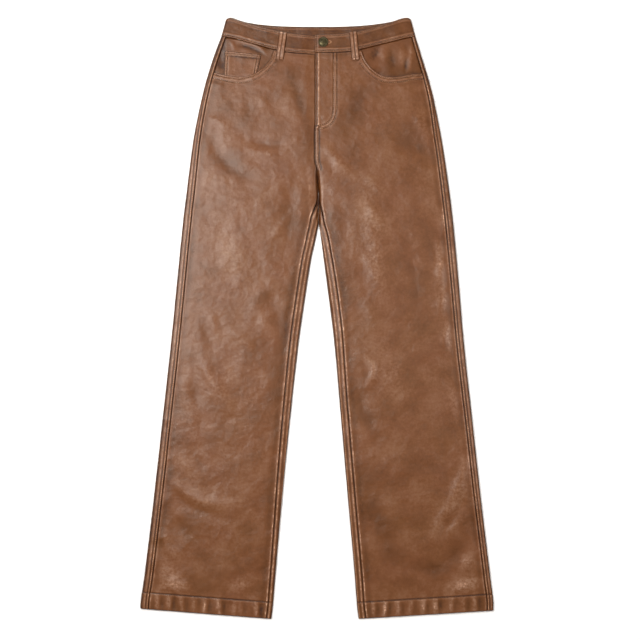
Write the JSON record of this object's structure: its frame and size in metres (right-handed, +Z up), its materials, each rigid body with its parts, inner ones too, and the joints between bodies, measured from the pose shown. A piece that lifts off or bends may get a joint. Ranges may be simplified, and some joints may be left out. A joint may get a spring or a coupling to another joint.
{
  "type": "faux leather trousers",
  "caption": "High-waisted straight-leg trousers in brown faux leather, laid flat with the front up, with fly, pockets and belt loops.",
  "frame": {"origin": "on the surface that the trousers lie on, under the middle of their length and width", "axes": "+Z up from the surface out of the front, +Y along the legs towards the waist, +X towards the wearer's left"},
  "size_m": [0.6347, 1.0798, 0.0119],
  "materials": {
    "faux_leather": "brown, satin, with a fine grain and lighter worn seams",
    "facing_leather": "brown, satin",
    "antique_brass": "dark antique brass"
  },
  "bodies": {
    "root": {"front_right": "faux_leather", "front_left": "faux_leather", "back_right": "faux_leather", "back_left": "faux_leather", "waistband": "faux_leather", "belt_loop_right": "faux_leather", "belt_loop_left": "faux_leather", "pocket_facing_right": "facing_leather", "pocket_facing_left": "facing_leather", "coin_pocket": "faux_leather", "fly_shield": "facing_leather", "hem_right": "faux_leather", "hem_left": "faux_leather", "button": "antique_brass"}
  },
  "joints": []
}
